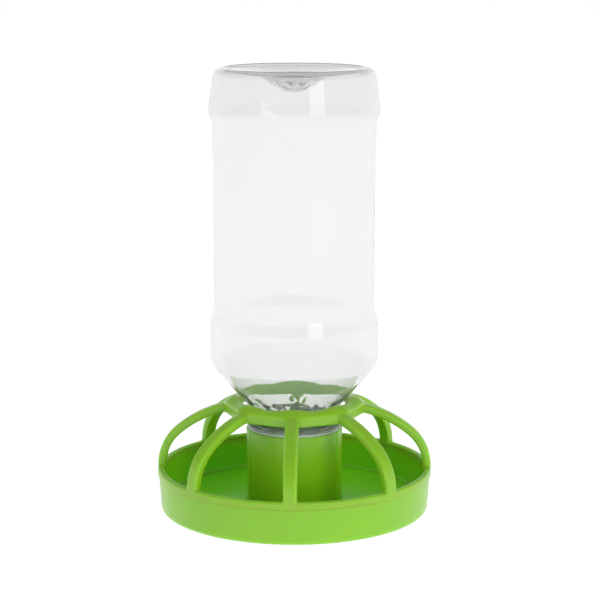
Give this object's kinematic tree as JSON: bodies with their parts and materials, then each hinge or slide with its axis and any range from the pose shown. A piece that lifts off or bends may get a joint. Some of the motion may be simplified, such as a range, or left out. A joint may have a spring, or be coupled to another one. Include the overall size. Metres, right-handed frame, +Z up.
{
  "type": "poultry waterer fount",
  "caption": "Small poultry drinker: a clear wide-mouth bottle screwed upside down into a round green dish, under an arched guard with ribs.",
  "frame": {"origin": "centre of the foot on the standing surface", "axes": "+Z up along the axis of the dish, the socket and the bottle; the two water ports face -Y and +Y"},
  "size_m": [0.14, 0.14, 0.225],
  "materials": {
    "dish": "glossy injection-moulded polypropylene, grass green",
    "guard": "glossy injection-moulded polypropylene, grass green",
    "seal": "translucent white silicone",
    "bottle": "clear blow-moulded PET, thin and glossy"
  },
  "bodies": {
    "dish": {"dish_floor": "dish", "dish_wall": "dish", "socket_column": "dish", "socket_thread": "dish"},
    "guard": {"guard_ring": "guard", "guard_lugs": "guard", "collar_1": "guard", "collar_2": "guard", "collar_3": "guard", "collar_4": "guard", "collar_5": "guard", "collar_6": "guard", "collar_7": "guard", "collar_8": "guard", "rib_1": "guard", "rib_2": "guard", "rib_3": "guard", "rib_4": "guard", "rib_5": "guard", "rib_6": "guard", "rib_7": "guard", "rib_8": "guard"},
    "seal": {"seal_washer": "seal"},
    "bottle": {"neck": "bottle", "neck_thread": "bottle", "support_bead": "bottle", "shoulder_cone": "bottle", "shoulder_band": "bottle", "waist": "bottle", "base_band": "bottle", "base": "bottle"}
  },
  "joints": [
    {"name": "guard_twist", "type": "hinge", "parent": "dish", "child": "guard", "pos_m": [0, 0, 0.02], "axis": [0, 0, 1], "range_deg": [0, 12]},
    {"name": "seal_rise", "type": "slide", "parent": "dish", "child": "seal", "axis": [0, 0, 1], "range_m": [0, 0.006]},
    {"name": "bottle_turn", "type": "hinge", "parent": "seal", "child": "bottle", "pos_m": [0, 0, 0.0425], "axis": [0, 0, 1], "range_deg": [0, 540]}
  ],
  "couplings": [
    {"joint": "seal_rise", "follows": "bottle_turn", "m_per_rad": 0.00063662}
  ]
}
